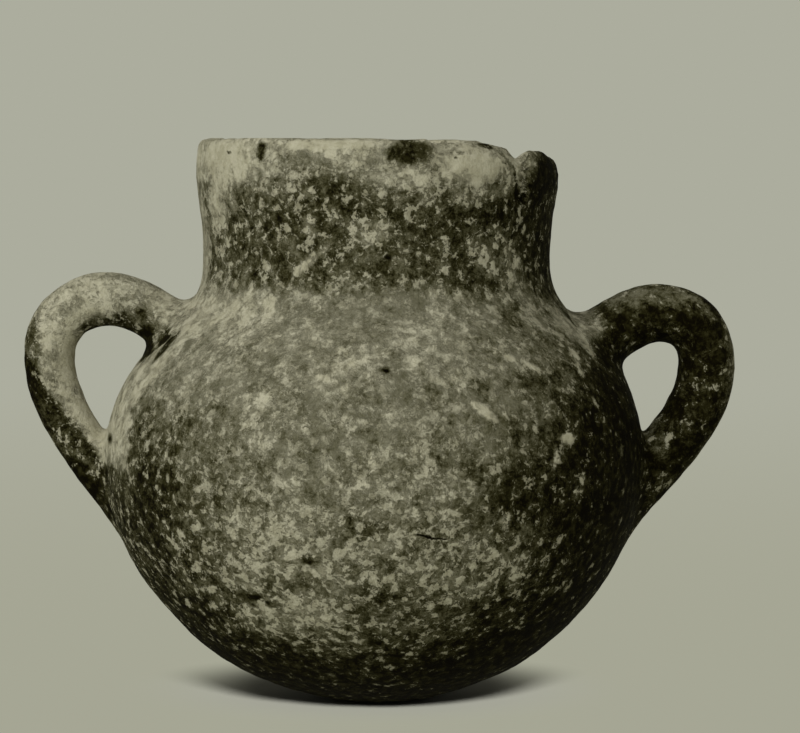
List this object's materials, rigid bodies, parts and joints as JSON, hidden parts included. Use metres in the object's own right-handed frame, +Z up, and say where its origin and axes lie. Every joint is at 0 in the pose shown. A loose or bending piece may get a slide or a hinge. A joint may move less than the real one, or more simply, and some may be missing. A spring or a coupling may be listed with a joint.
{
  "type": "two-handled jar",
  "caption": "Round-bottomed, wide-necked jar of hand-built fired clay with a loop handle on each side and a worn, chipped lip.",
  "frame": {"origin": "centre of the flat patch on the bottom that the jar rests on", "axes": "+Z up, +X from the left handle to the right handle as seen from the front, -Y towards the front"},
  "size_m": [0.2217, 0.1678, 0.175],
  "materials": {
    "bowl_clay": "matt unglazed clay, sooted, with lime specks",
    "belly_clay": "matt unglazed clay, sooted, thick with lime specks",
    "shoulder_clay": "matt smoothed clay, grey",
    "neck_clay": "matt sooted clay, nearly black",
    "lip_clay": "matt clay under a pale lime crust",
    "left_handle_clay": "matt clay with a pale lime crust above",
    "right_handle_clay": "matt sooted clay, nearly black",
    "luting_clay": "matt clay, smeared by hand"
  },
  "bodies": {
    "root": {"base_bowl": "bowl_clay", "belly_course": "belly_clay", "shoulder_course": "shoulder_clay", "neck_course": "neck_clay", "lip_coil": "lip_clay", "handle_left": "left_handle_clay", "handle_right": "right_handle_clay", "luting_top_left": "luting_clay", "luting_low_left": "luting_clay", "luting_top_right": "luting_clay", "luting_low_right": "luting_clay"}
  },
  "joints": []
}
